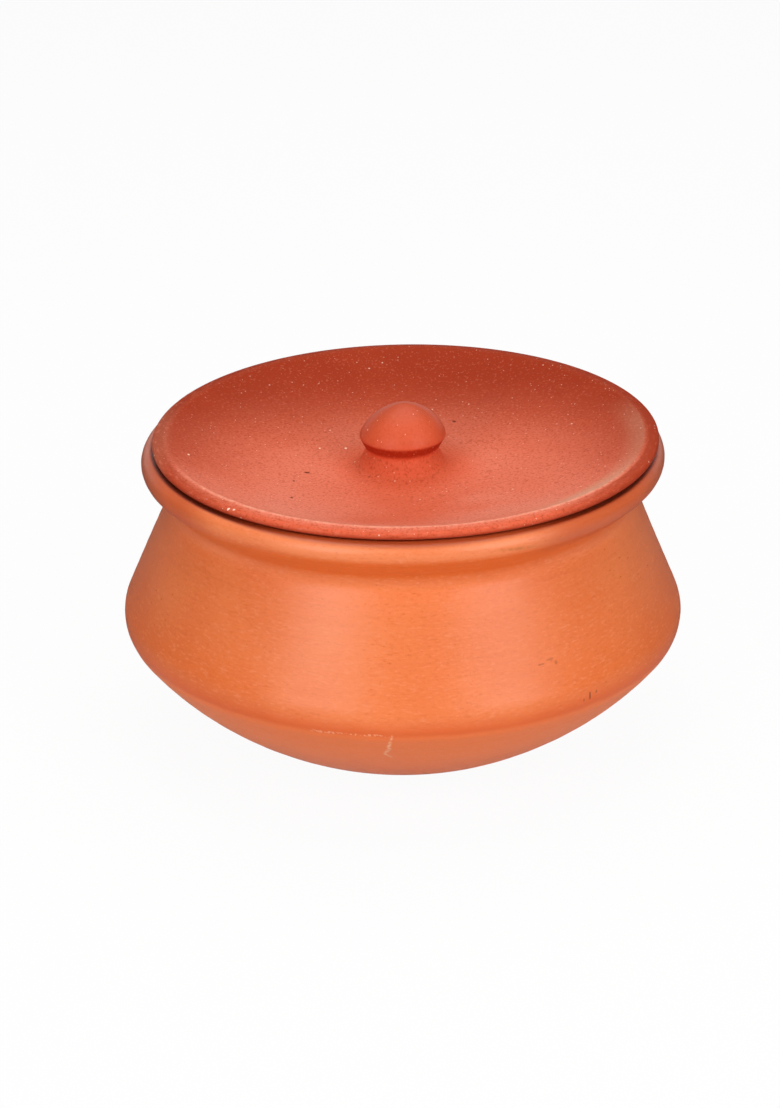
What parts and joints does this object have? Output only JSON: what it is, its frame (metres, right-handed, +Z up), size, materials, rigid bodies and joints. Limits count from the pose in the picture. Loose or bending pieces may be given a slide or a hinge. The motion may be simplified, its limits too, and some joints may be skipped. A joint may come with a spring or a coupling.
{
  "type": "lidded clay pot",
  "caption": "Round-bellied terracotta curd pot with a sloping wall, drawn-in neck and rolled rim, closed by a loose saucer lid with a mushroom knob.",
  "frame": {"origin": "centre of the flat foot that the pot stands on", "axes": "+Z up along the axis that the pot and the lid were thrown on; X and Y are free, because both pieces are round"},
  "size_m": [0.2, 0.2, 0.1212],
  "materials": {
    "burnished_terracotta": "unglazed orange earthenware, burnished to a satin sheen with fine wheel lines, matte below the belly",
    "dusty_terracotta": "unglazed red earthenware, matte and dusty, with pale grit and small dark pits"
  },
  "bodies": {
    "pot": {"pot": "burnished_terracotta"},
    "lid": {"lid": "dusty_terracotta"}
  },
  "joints": [
    {"name": "lid_lift", "type": "slide", "parent": "pot", "child": "lid", "axis": [0, 0, 1], "range_m": [0, 0.12]}
  ]
}
